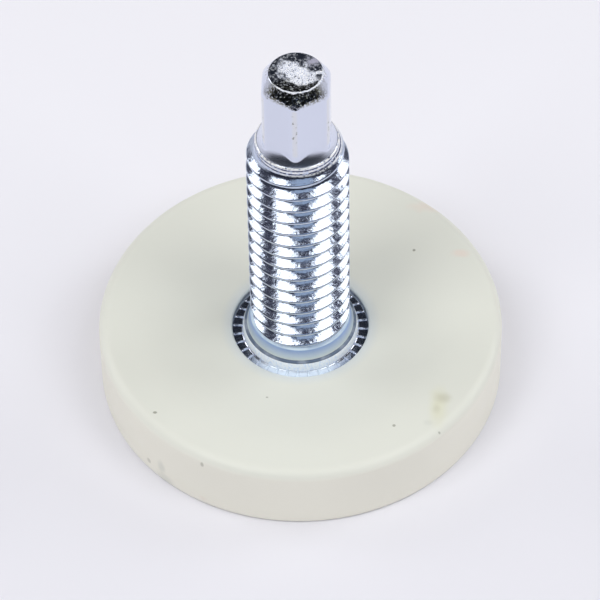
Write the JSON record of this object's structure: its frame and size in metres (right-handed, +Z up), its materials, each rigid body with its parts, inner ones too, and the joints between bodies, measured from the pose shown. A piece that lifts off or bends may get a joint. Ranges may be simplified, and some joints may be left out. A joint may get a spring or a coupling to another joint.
{
  "type": "refrigerator leveling leg",
  "caption": "Screw-in leveling leg: a plated steel stud with a coarse thread and a hex drive end, moulded into a round off-white plastic foot.",
  "frame": {"origin": "centre of the foot's underside, where the leg meets the floor", "axes": "+Z up the stud from the foot to the hex end; one corner of the hex points along -Y, and +X is a quarter turn anticlockwise from -Y seen from above"},
  "size_m": [0.0382, 0.0382, 0.0408],
  "materials": {
    "foot_plastic": "off-white moulded plastic with a low sheen",
    "plated_steel": "bright zinc plate, slightly blue"
  },
  "bodies": {
    "root": {"plastic_foot": "foot_plastic", "threaded_stud": "plated_steel"}
  },
  "joints": []
}
